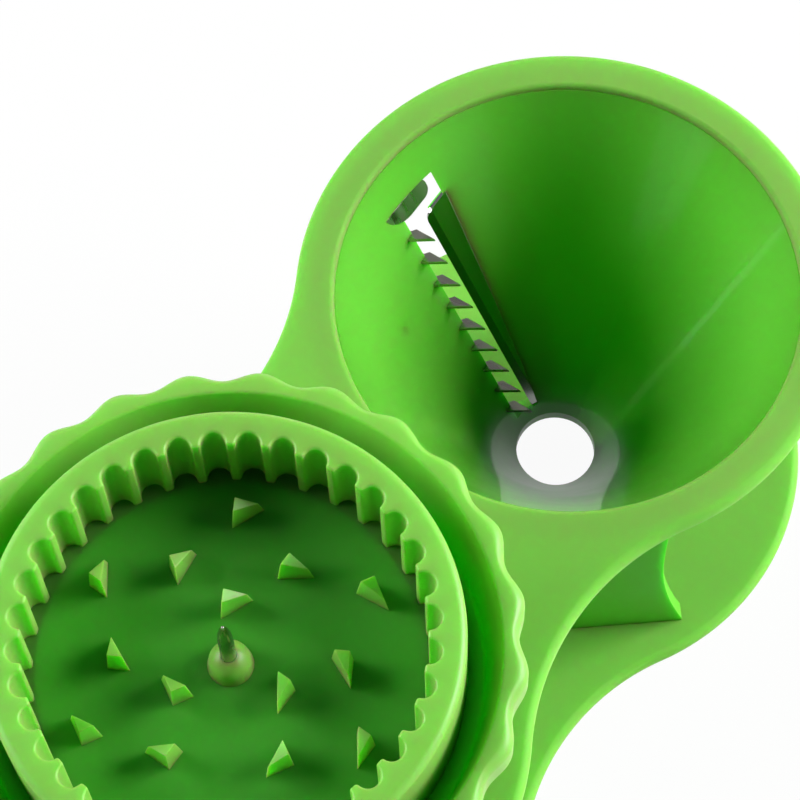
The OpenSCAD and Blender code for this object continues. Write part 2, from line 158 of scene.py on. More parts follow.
class MaterialBench(NodeBench):
    """Places and wires the nodes of one material."""

    def __init__(self, name: str) -> None:
        """Starts a material of this name with an empty tree."""
        self.material = bpy.data.materials.new(name)
        self.material.use_nodes = True
        super().__init__(self.material.node_tree)

    def noise(self, scale: float, detail: float, stretch: Triple = (1, 1, 1)) -> NodeSocket:
        """Adds noise on the piece's own coordinates.

        Args:
            scale: noise cells in a metre.
            detail: octaves of the noise.
            stretch: scale of the coordinates along X, Y and Z.

        Returns:
            The noise value's socket.
        """
        place = self.add("ShaderNodeTexCoord")
        turn = self.add("ShaderNodeMapping", {"Scale": stretch})
        noise = self.add("ShaderNodeTexNoise", {"Scale": scale, "Detail": detail})
        self.wire(place.outputs["Object"], turn.inputs["Vector"])
        self.wire(turn.outputs["Vector"], noise.inputs["Vector"])
        return noise.outputs["Fac"]

    def blend(self, source: NodeSocket, low: Colour, high: Colour) -> NodeSocket:
        """Blends two colours by a value.

        Args:
            source: the value, from 0 to 1.
            low: colour at 0.
            high: colour at 1.

        Returns:
            The colour's socket.
        """
        node = self.add("ShaderNodeMix", data_type="RGBA")
        colours = [s for s in node.inputs if s.type == "RGBA"]
        colours[0].default_value = (*low, 1)
        colours[1].default_value = (*high, 1)
        self.wire(source, node.inputs["Factor"])
        return next(s for s in node.outputs if s.type == "RGBA")

    def bump(self, source: NodeSocket, depth: float, strength: float) -> NodeSocket:
        """Turns a height into a bumped normal.

        Args:
            source: the height.
            depth: height of a full step in metres.
            strength: share of the bump that shows.

        Returns:
            The normal's socket.
        """
        node = self.add("ShaderNodeBump", {"Distance": depth, "Strength": strength})
        self.wire(source, node.inputs["Height"])
        return node.outputs["Normal"]

    def surface(self, shader: NodeSocket) -> Material:
        """Wires the last shader to the output and hands the material over."""
        self.wire(shader, self.add("ShaderNodeOutputMaterial").inputs["Surface"])
        return self.material

    def principled(self, colour: NodeSocket, roughness: NodeSocket, normal: NodeSocket,
                   inputs: dict[str, object]) -> Material:
        """Ends the material with a principled shader and hands it over."""
        shader = self.add("ShaderNodeBsdfPrincipled", inputs)
        for name, socket in (("Base Color", colour), ("Roughness", roughness), ("Normal", normal)):
            self.wire(socket, shader.inputs[name])
        return self.surface(shader.outputs["BSDF"])


@dataclass(frozen=True)
class MouldedPlastic:
    """Green plastic that lets light through, green further than red and blue."""

    name: str
    tone: Colour
    cloud: Colour
    roughness: float
    coat: float
    coat_roughness: float
    reach_mm: float
    gloss: float = 0.5
    index: float = 1.5
    spread: Triple = (0.15, 1.0, 0.08)
    cloud_scale: float = 28
    haze_scale: float = 90
    haze_low: float = 0.9
    haze_high: float = 1.12
    skin_scale: float = 600
    skin_depth: float = 0.00002
    skin_strength: float = 0.12

    def make(self) -> Material:
        """Builds the material, with clouded colour, uneven gloss and a fine moulded skin."""
        bench = MaterialBench(self.name)
        drift = bench.ramp(bench.noise(self.cloud_scale, detail=3), 0, 1)
        haze = bench.ramp(bench.noise(self.haze_scale, detail=3), self.roughness * self.haze_low,
                          self.roughness * self.haze_high)
        skin = bench.bump(bench.noise(self.skin_scale, detail=2), self.skin_depth, self.skin_strength)
        return bench.principled(bench.blend(drift, self.tone, self.cloud), haze, skin, {
            "IOR": self.index, "Specular IOR Level": self.gloss,
            "Coat Weight": self.coat, "Coat Roughness": self.coat_roughness,
            "Subsurface Weight": 1, "Subsurface Radius": self.spread,
            "Subsurface Scale": self.reach_mm * MM})


@dataclass(frozen=True)
class GroundSteel:
    """Stainless steel with a fine grain along one direction."""

    name: str
    tone: Colour
    shade: Colour
    roughness: float
    grain: Triple
    stain_scale: float = 160
    grain_scale: float = 700
    smooth_share: float = 0.7
    rough_share: float = 1.4
    grain_depth: float = 0.00001
    grain_strength: float = 0.3

    def make(self) -> Material:
        """Builds the material, with grain in its gloss and its surface."""
        bench = MaterialBench(self.name)
        stain = bench.ramp(bench.noise(self.stain_scale, detail=4), 0, 1)
        lines = bench.noise(self.grain_scale, detail=3, stretch=self.grain)
        haze = bench.ramp(lines, self.roughness * self.smooth_share, self.roughness * self.rough_share)
        skin = bench.bump(lines, self.grain_depth, self.grain_strength)
        return bench.principled(bench.blend(stain, self.tone, self.shade), haze, skin, {"Metallic": 1})


Finish = MouldedPlastic | GroundSteel
DECK_GREEN = MouldedPlastic(
    "deck_green", tone=(0.232, 0.560, 0.088), cloud=(0.239, 0.570, 0.092), roughness=0.52,
    coat=0.0, coat_roughness=0.25, reach_mm=5.0, gloss=0.08)
# Deck plastic made darker and more saturated: painted shade for the webs, which stand in the shade under
# the upper plate.
SHADED_WEB_GREEN = MouldedPlastic(
    "web_green", tone=(0.118, 0.505, 0.036), cloud=(0.123, 0.515, 0.038), roughness=0.60,
    coat=0.0, coat_roughness=0.25, reach_mm=4.0, gloss=0.12)
CONE_GREEN = MouldedPlastic(
    "cone_green", tone=(0.138, 0.525, 0.040), cloud=(0.143, 0.535, 0.042), roughness=0.36,
    coat=0.55, coat_roughness=0.07, reach_mm=4.0, gloss=0.3)
HOLDER_GREEN = MouldedPlastic(
    "holder_green", tone=(0.260, 0.540, 0.085), cloud=(0.267, 0.550, 0.089), roughness=0.48,
    coat=0.10, coat_roughness=0.25, reach_mm=7.5)
# Holder plastic made darker and more saturated: painted shade for the cup floor, which lies in the shade of
# the ring.
SHADED_FLOOR_GREEN = MouldedPlastic(
    "spike_green", tone=(0.068, 0.440, 0.026), cloud=(0.071, 0.450, 0.027), roughness=0.40,
    coat=0.15, coat_roughness=0.25, reach_mm=7.0)
BLADE_STEEL = GroundSteel(
    "blade_steel", tone=(0.42, 0.43, 0.42), shade=(0.37, 0.38, 0.37), roughness=0.14, grain=(1, 0.1, 0.1))
COMB_STEEL = GroundSteel(
    "comb_steel", tone=(0.46, 0.44, 0.41), shade=(0.40, 0.38, 0.35), roughness=0.28, grain=(1, 0.1, 0.1))
SCREW_STEEL = GroundSteel(
    "screw_steel", tone=(0.60, 0.60, 0.61), shade=(0.54, 0.54, 0.55), roughness=0.25, grain=(1, 1, 1))
PIN_STEEL = GroundSteel(
    "pin_steel", tone=(0.50, 0.49, 0.47), shade=(0.42, 0.41, 0.39), roughness=0.22, grain=(1, 1, 0.1))


@cache
def material_of(finish: Finish) -> Material:
    """Gives a finish's material, which is made on first use."""
    return finish.make()


def dress(node: str, finish: Finish) -> None:
    """Puts a finish on the carried-over solid of a node."""
    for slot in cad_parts[node].material_slots:
        slot.material = material_of(finish)
    LOG.info("%s keeps its solid, in %s", node, finish.name)


# Mesh tools


@dataclass(frozen=True)
class Corner:
    """A corner of a drawn line and the radius that rounds it, in millimetres."""

    a: float
    b: float
    radius: float = 0.0


def rounded(corners: Sequence[Corner], closed: bool = False, step_deg: float = 15) -> list[Flat]:
    """Draws a line through corners with an arc at each rounded one.

    Args:
        corners: the corners in order.
        closed: whether the last corner joins the first.
        step_deg: largest turn between two points of an arc.

    Returns:
        The points of the line.
    """
    points: list[Flat] = []
    count = len(corners)
    for i, corner in enumerate(corners):
        here = Vector((corner.a, corner.b))
        end = not closed and i in (0, count - 1)
        if end or corner.radius <= 0:
            points.append((corner.a, corner.b))
            continue
        before = corners[i - 1]
        after = corners[(i + 1) % count]
        way_in = here - Vector((before.a, before.b))
        way_out = Vector((after.a, after.b)) - here
        room = SIDE_SHARE * min(way_in.length, way_out.length)
        way_in.normalize()
        way_out.normalize()
        turn = math.atan2(way_in.x * way_out.y - way_in.y * way_out.x, way_in.dot(way_out))
        if abs(turn) < STRAIGHT:
            points.append((corner.a, corner.b))
            continue
        back = min(corner.radius * math.tan(abs(turn) / 2), room)
        radius = back / math.tan(abs(turn) / 2)
        start = here - way_in * back
        side = math.copysign(1.0, turn)
        centre = start + Vector((-way_in.y, way_in.x)) * side * radius
        arm = start - centre
        steps = max(2, math.ceil(math.degrees(abs(turn)) / step_deg))
        for k in range(steps + 1):
            spin = Matrix.Rotation(turn * k / steps, 2)
            point = centre + spin @ arm
            points.append((point.x, point.y))
    return points


def add_loop(bm: BMesh, points: Sequence[Sequence[float]]) -> Loop:
    """Adds a loop of points to a mesh."""
    return [bm.verts.new(p) for p in points]


def bridge(bm: BMesh, one: Loop, two: Loop) -> None:
    """Joins two closed loops with faces.

    Args:
        bm: the mesh.
        one: first loop; a single point makes a fan.
        two: second loop, as long as the first or a single point.
    """
    count = max(len(one), len(two))
    for i in range(count):
        j = (i + 1) % count
        ring = [one[i % len(one)], one[j % len(one)], two[j % len(two)], two[i % len(two)]]
        bm.faces.new(list(dict.fromkeys(ring)))


def skin(bm: BMesh, loops: list[Loop], closed: bool = False) -> None:
    """Joins each loop to the next, and the last one to the first where the shape closes."""
    for one, two in zip(loops, loops[1:] + loops[:1] if closed else loops[1:]):
        bridge(bm, one, two)


def turn_profile(bm: BMesh, profile: Sequence[Flat], segments: int, closed: bool = False,
                 warp: Optional[Warp] = None, x: float = 0.0) -> list[Loop]:
    """Turns a profile about an upright axis.

    Args:
        bm: the mesh to add to.
        profile: distances from the axis and heights.
        segments: steps round the axis.
        closed: whether the profile closes on itself.
        warp: gives the distance from the axis for an angle, a distance and a height.
        x: place of the axis.

    Returns:
        A loop for each point of the profile.
    """
    loops = []
    for r, z in profile:
        if r < SPECK_MM:
            loops.append(add_loop(bm, [(x, 0, z)]))
            continue
        ring = []
        for i in range(segments):
            angle = TURN * i / segments
            reach = warp(angle, r, z) if warp else r
            ring.append((x + reach * math.cos(angle), reach * math.sin(angle), z))
        loops.append(add_loop(bm, ring))
    skin(bm, loops, closed)
    return loops


def add_prism(bm: BMesh, outline: Sequence[Sequence[float]], shift: Vector) -> None:
    """Adds a prism.

    Args:
        bm: the mesh to add to.
        outline: corners of its first face.
        shift: way from the first face to the last.
    """
    first = add_loop(bm, outline)
    last = add_loop(bm, [Vector(p) + shift for p in outline])
    bm.faces.new(first)
    bm.faces.new(last)
    bridge(bm, first, last)


def add_box(bm: BMesh, low: Sequence[float], high: Sequence[float]) -> None:
    """Adds a box between its lowest and its highest corner."""
    x0, y0, z0 = low
    x1, y1, z1 = high
    base = [(x0, y0, z0), (x1, y0, z0), (x1, y1, z0), (x0, y1, z0)]
    add_prism(bm, base, Vector((0, 0, z1 - z0)))


def soften(bm: BMesh, offset: float, segments: int = 2, keep_ends: bool = False) -> None:
    """Rounds the sharp edges of a mesh.

    Args:
        bm: the mesh.
        offset: width of the rounding in millimetres.
        segments: faces across the rounding.
        keep_ends: leaves the edges that lie in the lowest and the highest plane.
    """
    bmesh.ops.recalc_face_normals(bm, faces=bm.faces[:])
    edges = [e for e in bm.edges if e.calc_face_angle(0.0) > SHARP]
    if keep_ends:
        heights = [v.co.z for v in bm.verts]
        ends = (min(heights), max(heights))
        edges = [e for e in edges if not any(all(abs(v.co.z - z) < LEVEL for v in e.verts) for z in ends)]
    bmesh.ops.bevel(bm, geom=edges, offset=offset, segments=segments, profile=0.5, affect="EDGES",
                    clamp_overlap=True)


def put(name: str, data: ID) -> Object:
    """Puts a mesh, a lamp or a camera in the scene."""
    thing = bpy.data.objects.new(name, data)
    bpy.context.scene.collection.objects.link(thing)
    return thing


def to_mesh(name: str, bm: BMesh) -> Mesh:
    """Makes a mesh of what was drawn and frees the drawing."""
    mesh = bpy.data.meshes.new(name)
    bm.to_mesh(mesh)
    bm.free()
    return mesh


def finish_piece(name: str, bm: BMesh, place: Matrix, finish: Finish) -> Object:
    """Makes a piece from a mesh that is drawn in millimetres.

    Args:
        name: name of the piece.
        bm: its mesh, which is freed.
        place: where the mesh goes, in millimetres.
        finish: its finish.

    Returns:
        The piece, with its object at the origin.
    """
    bmesh.ops.remove_doubles(bm, verts=bm.verts[:], dist=MERGE_MM)
    bmesh.ops.transform(bm, matrix=Matrix.Scale(MM, 4) @ place, verts=bm.verts[:])
    bmesh.ops.recalc_face_normals(bm, faces=bm.faces[:])
    for edge in bm.edges:
        edge.smooth = edge.calc_face_angle(0.0) < SHARP
    for face in bm.faces:
        face.smooth = True
    return hang(name, to_mesh(name, bm), finish)


def hang(name: str, mesh: Mesh, finish: Finish) -> Object:
    """Puts a mesh in the scene as a piece with a finish and even shading."""
    mesh.materials.clear()
    mesh.materials.append(material_of(finish))
    piece = put(name, mesh)
    even = piece.modifiers.new("Even shading", "WEIGHTED_NORMAL")
    even.keep_sharp = True
    even.weight = EVEN_WEIGHT
    return piece


def settle(piece: Object, rider: Rider, slot: str, *nodes: str) -> None:
    """Hands a finished piece to the frame.

    Args:
        piece: the piece.
        rider: body that it rides on.
        slot: not used.
        nodes: solids that it stands for.
    """
    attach(piece, rider.value)
    if nodes:
        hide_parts(*nodes)
    LOG.info("%s rides on %s and stands for %s", piece.name, rider.value, ", ".join(nodes) or "no solid")


def soft_copy(node: str, width: float, rider: Rider, slot: str, finish: Finish,
              keep_ends: bool = False) -> None:
    """Puts a copy of a solid with round edges in the solid's place.

    Args:
        node: name of the solid.
        width: width of the rounding in millimetres.
        rider: body that the copy rides on.
        slot: not used.
        finish: finish of the copy.
        keep_ends: leaves the edges of its foot and its top.
    """
    bm = bmesh.new()
    bm.from_mesh(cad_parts[node].data)
    bmesh.ops.remove_doubles(bm, verts=bm.verts[:], dist=MERGE_MM * MM)
    bmesh.ops.dissolve_limit(bm, angle_limit=FLAT_TURN, verts=bm.verts[:], edges=bm.edges[:])
    bmesh.ops.transform(bm, matrix=Matrix.Scale(1 / MM, 4), verts=bm.verts[:])
    soften(bm, width, segments=4, keep_ends=keep_ends)
    settle(finish_piece(node + "_moulding", bm, Matrix.Identity(4), finish), rider, slot, node)


# Copies by geometry nodes


class Copies(NodeBench):
    """A node tree that sets out copies of a shape and makes them one mesh."""

    def __init__(self, name: str, inputs: Sequence[tuple[str, str]], finish: Finish) -> None:
        """Starts the tree.

        Args:
            name: name of the tree.
            inputs: name and socket type of each input.
            finish: finish of the copies.
        """
        super().__init__(bpy.data.node_groups.new(name, "GeometryNodeTree"))
        side = self.tree.interface
        side.new_socket("Shape", in_out="INPUT", socket_type="NodeSocketGeometry")
        for label, kind in inputs:
            side.new_socket(label, in_out="INPUT", socket_type=kind)
        side.new_socket("Copies", in_out="OUTPUT", socket_type="NodeSocketGeometry")
        self.given = self.add("NodeGroupInput")
        self.place = self.add("GeometryNodeInstanceOnPoints")
        self.solid = self.add("GeometryNodeRealizeInstances")
        paint = self.add("GeometryNodeSetMaterial", {"Material": material_of(finish)})
        self.wire(self.given.outputs["Shape"], self.place.inputs["Instance"])
        self.wire(self.place.outputs["Instances"], self.solid.inputs["Geometry"])
        self.wire(self.solid.outputs["Geometry"], paint.inputs["Geometry"])
        self.wire(paint.outputs["Geometry"], self.add("NodeGroupOutput").inputs["Copies"])

    def make(self, bm: BMesh, values: dict[str, object]) -> Mesh:
        """Runs the tree on one shape.

        Args:
            bm: the shape that is copied, which is freed.
            values: a value for each named input.

        Returns:
            A plain mesh of all copies, in the shape's units.
        """
        bmesh.ops.recalc_face_normals(bm, faces=bm.faces[:])
        carrier = put("copied shape", to_mesh("copied shape", bm))
        modifier = carrier.modifiers.new("Copies", "NODES")
        modifier.node_group = self.tree
        for item in self.tree.interface.items_tree:
            if item.in_out == "INPUT" and item.name in values:
                modifier[item.identifier] = values[item.name]
        bpy.context.view_layer.update()
        graph = bpy.context.evaluated_depsgraph_get()
        result = bpy.data.meshes.new_from_object(carrier.evaluated_get(graph))
        carrier.modifiers.remove(modifier)
        bpy.data.objects.remove(carrier)
        return result


class RingOfCopies(Copies):
    """Copies on a circle, each turned to face away from the middle."""

    def __init__(self, name: str, finish: Finish) -> None:
        """Builds the tree for copies in a finish."""
        super().__init__(name, (("Count", "NodeSocketInt"), ("Radius", "NodeSocketFloat"),
                                ("Step", "NodeSocketFloat"), ("Start", "NodeSocketFloat")), finish)
        circle = self.add("GeometryNodeMeshCircle")
        self.wire(self.given.outputs["Count"], circle.inputs["Vertices"])
        self.wire(self.given.outputs["Radius"], circle.inputs["Radius"])
        index = self.add("GeometryNodeInputIndex")
        own = self.math("MULTIPLY", index.outputs[0], self.given.outputs["Step"])
        spin = self.add("ShaderNodeCombineXYZ")
        self.wire(own, spin.inputs["Z"])
        start = self.add("ShaderNodeCombineXYZ")
        self.wire(self.given.outputs["Start"], start.inputs["Z"])
        self.wire(circle.outputs["Mesh"], self.place.inputs["Points"])
        self.wire(spin.outputs[0], self.place.inputs["Rotation"])
        turned = self.add("GeometryNodeTransform")
        self.wire(self.place.outputs["Instances"], turned.inputs["Geometry"])
        self.wire(start.outputs[0], turned.inputs["Rotation"])
        self.wire(turned.outputs["Geometry"], self.solid.inputs["Geometry"])


class RowOfCopies(Copies):
    """Copies along a straight row."""

    def __init__(self, name: str, finish: Finish) -> None:
        """Builds the tree for copies in a finish."""
        super().__init__(name, (("Count", "NodeSocketInt"), ("Start", "NodeSocketVector"),
                                ("Step", "NodeSocketVector")), finish)
        line = self.add("GeometryNodeMeshLine", mode="OFFSET")
        self.wire(self.given.outputs["Count"], line.inputs["Count"])
        self.wire(self.given.outputs["Start"], line.inputs["Start Location"])
        self.wire(self.given.outputs["Step"], line.inputs["Offset"])
        self.wire(line.outputs["Mesh"], self.place.inputs["Points"])


# The body


@dataclass(frozen=True)
class BodyFrame:
    """Main sizes of the body in millimetres, and the places that follow from them."""

    height: float = 60.0
    half_gap: float = 38.0
    mouth_r: float = 33.0
    outlet_r: float = 6.15
    outlet_land: float = 2.0

    @property
    def slope(self) -> float:
        """Gain of the cone's radius with height."""
        return (self.mouth_r - self.outlet_r) / (self.height - self.outlet_land)

    def cone_r(self, z: float) -> float:
        """Inner radius of the upper cone at a height."""
        return self.outlet_r + (z - self.outlet_land) * self.slope

    def side(self, half: Half) -> Matrix:
        """Place of a half in millimetres: the lower one is turned over."""
        if half is Half.UPPER:
            return Matrix.Identity(4)
        return Matrix.Translation((0, 0, self.height)) @ Matrix.Rotation(math.pi, 4, "Y")

    def wall(self, half: Half) -> Matrix:
        """Wall frame of a half: X across the slot, Y out of the wall, -Z down it."""
        lean = Matrix.Rotation(-math.atan(self.slope), 4, "X")
        return self.side(half) @ Matrix.Translation((self.half_gap, self.mouth_r, self.height)) @ lean

    def holder(self) -> Matrix:
        """Place of the food holder on the closed end of the deck."""
        return Matrix.Translation((-self.half_gap, 0, self.height))


@dataclass
class LobedPlate:
    """A plate with two round ends, a mouth in one and a collar hole in the other."""

    body: BodyFrame
    half: Half
    lobe_r: float = 38.2
    waist_r: float = 37.0
    thickness: float = 3.0
    ledge: float = 1.0
    lip_r: float = 36.05
    collar_r: float = 9.05
    edge_round: float = 1.3
    mouth_round: float = 0.7
    collar_round: float = 0.25
    seat_clear: float = 0.06
    seat_round: float = 0.12
    run: float = 9.0
    lead: float = 3.0
    lobe_steps: int = 128
    waist_steps: int = 40
    hole_steps: int = 192

    def outline(self, inset: float, z: float) -> list[Triple]:
        """Draws the plan of the plate, inside its edge by an inset and at a height."""
        gap = self.body.half_gap
        waist_y = math.sqrt((self.lobe_r + self.waist_r) ** 2 - gap ** 2)
        lean = math.atan2(waist_y, gap)
        lobe = self.lobe_r - inset
        waist = self.waist_r + inset
        arcs = (
            ((gap, 0), lobe, lean - math.pi, math.pi - lean, self.lobe_steps),
            ((0, waist_y), waist, -lean, lean - math.pi, self.waist_steps),
            ((-gap, 0), lobe, lean, TURN - lean, self.lobe_steps),
            ((0, -waist_y), waist, math.pi - lean, lean, self.waist_steps),
        )
        points = []
        for (cx, cy), r, start, stop, steps in arcs:
            for i in range(steps):
                angle = start + (stop - start) * i / steps
                points.append((cx + r * math.cos(angle), cy + r * math.sin(angle), z))
        return points

    def build(self) -> None:
        """Builds the plate with round edges and hands it over."""
        top = self.body.height
        low = top - self.thickness
        seat = top - self.ledge
        bm = bmesh.new()
        edge = rounded([Corner(self.run, low), Corner(0, low, self.edge_round),
                        Corner(0, top, self.edge_round), Corner(self.run, top)], step_deg=12)[1:-1]
        rim = [add_loop(bm, self.outline(inset, z)) for inset, z in edge]
        skin(bm, rim)
        lip = self.lip_r
        wide = self.collar_r + self.lead
        mouth = rounded([Corner(lip + self.lead, top), Corner(self.body.cone_r(top), top, self.mouth_round),
                         Corner(self.body.cone_r(seat) + self.seat_clear, seat, self.seat_round),
                         Corner(lip, seat), Corner(lip, low), Corner(lip + self.lead, low)])[1:-1]
        collar = rounded([Corner(wide, top), Corner(self.collar_r, top, self.collar_round),
                          Corner(self.collar_r, low), Corner(wide, low)])[1:-1]
        holes = [turn_profile(bm, mouth, self.hole_steps, x=self.body.half_gap),
                 turn_profile(bm, collar, self.hole_steps, x=-self.body.half_gap)]
        for loops in ((rim[-1], *(h[0] for h in holes)), (rim[0], *(h[-1] for h in holes))):
            edges = []
            for loop in loops:
                edges += [bm.edges.get((a, b)) for a, b in zip(loop, loop[1:] + loop[:1])]
            bmesh.ops.triangle_fill(bm, use_beauty=True, edges=edges)
        node = "upper_plate" if self.half is Half.UPPER else "lower_plate"
        piece = finish_piece(node + "_moulding", bm, self.body.side(self.half), DECK_GREEN)
        settle(piece, Rider.BASE, "deck_plastic", node)


@dataclass
class CuttingCone:
    """A cone and its blade, kept as solids, with rounded webs and clamps."""

    half: Half
    web_round: float = 1.0
    clamp_round: float = 0.4

    def build(self) -> None:
        """Dresses the cone and what is fixed to it."""
        mark = self.half.value
        dress(f"cone_{mark}", CONE_GREEN)
        dress(f"blade_{mark}", BLADE_STEEL)
        # The webs wear the darkened copy of the deck plastic: painted shade.
        soft_copy(f"web_{mark}", self.web_round, Rider.BASE, "deck_plastic", SHADED_WEB_GREEN, keep_ends=True)
        for stem in ("blade_clamp", "comb_clamp"):
            soft_copy(f"{stem}_{mark}", self.clamp_round, Rider.BASE, "cone_plastic", CONE_GREEN)


@dataclass
class JulienneComb:
    """A strip of steel outside the slot with a row of teeth through it."""

    body: BodyFrame
    half: Half
    teeth: int
    pitch: float
    first: float = 14.8
    steel: float = 0.6
    outside: float = 2.3
    spine_from: float = -9.0
    spine_to: float = 0.5
    top: float = 8.35
    bottom: float = 61.17
    root: float = 1.1
    front: float = 1.1
    reach: float = 0.6
    tip: float = 4.0
    tab_width: float = 9.1
    tab_height: float = 3.5
    tab_middle: float = 1.8
    tab_corner: float = 1.45
    tab_steps: int = 20
    tooth_round: float = 0.09
    strip_round: float = 0.08

    def tooth(self) -> BMesh:
        """Draws one tooth about its own middle."""
        bm = bmesh.new()
        spine = self.outside + self.steel
        sheet = [(-self.root, spine), (self.spine_to, spine), (self.spine_to, self.steel), (self.front, 0),
                 (self.reach, -self.tip), (-self.root, 0)]
        add_prism(bm, [(u, v, -self.steel / 2) for u, v in sheet], Vector((0, 0, self.steel)))
        soften(bm, self.tooth_round, segments=1)
        return bm

    def tab(self) -> list[Flat]:
        """Draws the tab: pointed at the slot's edge, blunt over the window.

        Returns:
            Points across the wall and up it.
        """
        half = self.tab_width / 2
        radius = (half ** 2 + self.tab_height ** 2) / (2 * self.tab_height)
        swing = math.asin(half / radius)
        points = []
        for i in range(self.tab_steps):
            angle = swing * (1 - i / self.tab_steps)
            drop = radius * math.cos(angle) - radius + self.tab_height
            points.append((self.tab_middle - radius * math.sin(angle), -self.top - drop))
        low = -self.top - self.tab_height
        end = self.tab_middle + half
        blunt = rounded([Corner(self.tab_middle, low), Corner(end, low, self.tab_corner),
                         Corner(end, -self.top, self.tab_corner), Corner(self.tab_middle, -self.top)],
                        step_deg=10)
        return points + blunt[:-1]

    def strip(self) -> BMesh:
        """Draws the spine, the neck and the end tab as one mesh."""
        bm = bmesh.new()
        spine = self.outside + self.steel
        add_box(bm, (self.spine_from, self.outside, -self.bottom), (self.spine_to, spine, -self.top))
        add_box(bm, (-self.root - self.steel, 0, -self.top - self.tab_height / 2),
                (-self.root + self.steel, spine, -self.top))
        add_prism(bm, [(u, 0, v) for u, v in self.tab()], Vector((0, self.steel, 0)))
        soften(bm, self.strip_round, segments=1)
        return bm

    def build(self) -> None:
        """Builds the comb and hands it over."""
        node = f"comb_{self.half.value}"
        place = self.body.wall(self.half)
        strip = finish_piece(node + "_strip", self.strip(), place, COMB_STEEL)
        settle(strip, Rider.BASE, "comb_steel", node)
        row = RowOfCopies(node + " teeth", COMB_STEEL)
        mesh = row.make(self.tooth(), {"Count": self.teeth, "Start": (0, 0, -self.first),
                                       "Step": (0, 0, -self.pitch)})
        mesh.transform(Matrix.Scale(MM, 4) @ place)
        settle(hang(node + "_teeth", mesh, COMB_STEEL), Rider.BASE, "comb_steel")


@dataclass
class ClampScrews:
    """Two rows of pan-head screws on the clamps of one cone."""

    body: BodyFrame
    half: Half
    shank_r: float = 0.9
    head_r: float = 1.8
    head_h: float = 1.2
    head_round: float = 0.8
    rim_round: float = 0.2
    end_round: float = 0.3
    socket_round: float = 0.1
    socket_r: float = 0.45
    socket_d: float = 0.6
    segments: int = 40
    bite: float = 1.9
    count: int = 3
    first: float = 24.34
    pitch: float = 12.07
    rows: tuple[Flat, Flat] = ((14.9, 4.3), (-10.75, 4.9))

    def screw(self, seat: float) -> BMesh:
        """Draws a screw along Y with a round socket, its head at a seat out of the wall."""
        bm = bmesh.new()
        shank = seat + self.bite
        socket = self.head_h - self.socket_d
        profile = rounded([Corner(0, -shank), Corner(self.shank_r, -shank, self.end_round),
                           Corner(self.shank_r, 0), Corner(self.head_r, 0, self.rim_round),
                           Corner(self.head_r, self.head_h, self.head_round),
                           Corner(self.socket_r, self.head_h, self.socket_round),
                           Corner(self.socket_r, socket), Corner(0, socket)])
        turn_profile(bm, profile, self.segments)
        bmesh.ops.transform(bm, matrix=Matrix.Rotation(-math.pi / 2, 4, "X"), verts=bm.verts[:])
        for vert in bm.verts:
            vert.co.y += seat
        for face in bm.faces:
            face.smooth = True
        return bm

    def build(self) -> None:
        """Builds both rows as one piece and hands it over."""
        node = f"clamp_screws_{self.half.value}"
        tree = RowOfCopies(node + " row", SCREW_STEEL)
        both = bmesh.new()
        for across, seat in self.rows:
            mesh = tree.make(self.screw(seat), {"Count": self.count, "Start": (across, 0, -self.first),
                                                "Step": (0, 0, -self.pitch)})
            both.from_mesh(mesh)
        piece = finish_piece(node + "_set", both, self.body.wall(self.half), SCREW_STEEL)
        settle(piece, Rider.BASE, "screw_steel", node)


# The food holder


